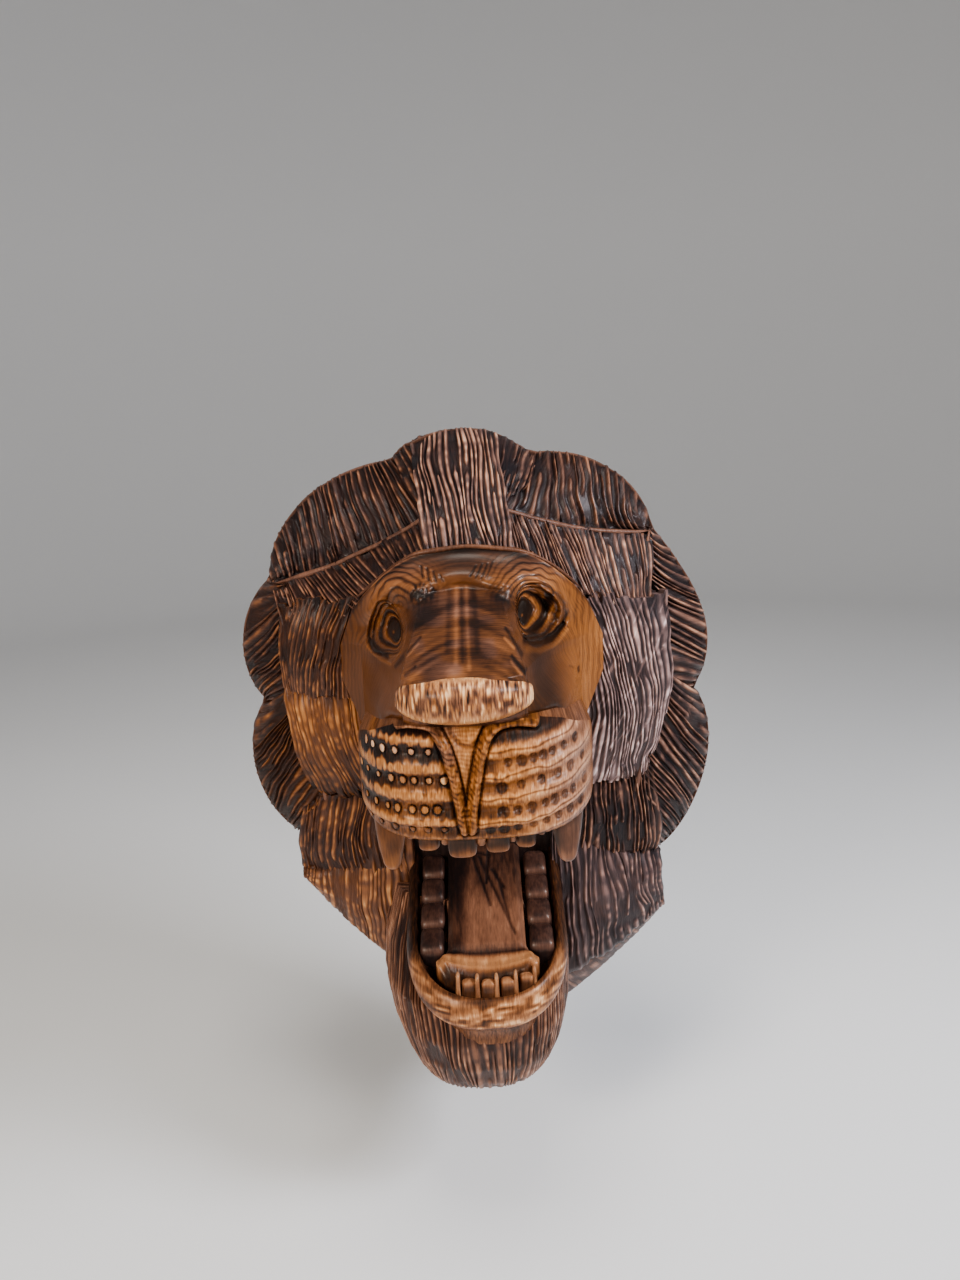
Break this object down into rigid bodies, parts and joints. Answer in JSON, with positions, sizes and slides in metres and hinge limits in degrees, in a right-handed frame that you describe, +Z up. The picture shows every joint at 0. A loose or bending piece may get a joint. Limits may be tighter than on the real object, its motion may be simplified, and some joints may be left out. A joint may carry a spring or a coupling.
{
  "type": "lion head wall mask",
  "caption": "Roaring lion head wall mask carved from one block of wood, with a lobed mane of grooved locks, an open toothed mouth and a flat back.",
  "frame": {"origin": "on the flat back, halfway up the mask, behind the muzzle", "axes": "+Z up, -Y the way the lion looks, out from the wall, +X to the viewer's right"},
  "size_m": [0.3046, 0.2085, 0.3982],
  "materials": {
    "carved_wood": "varnished, with charred grooves in the mane"
  },
  "bodies": {
    "root": {"lion_head": "carved_wood"}
  },
  "joints": []
}
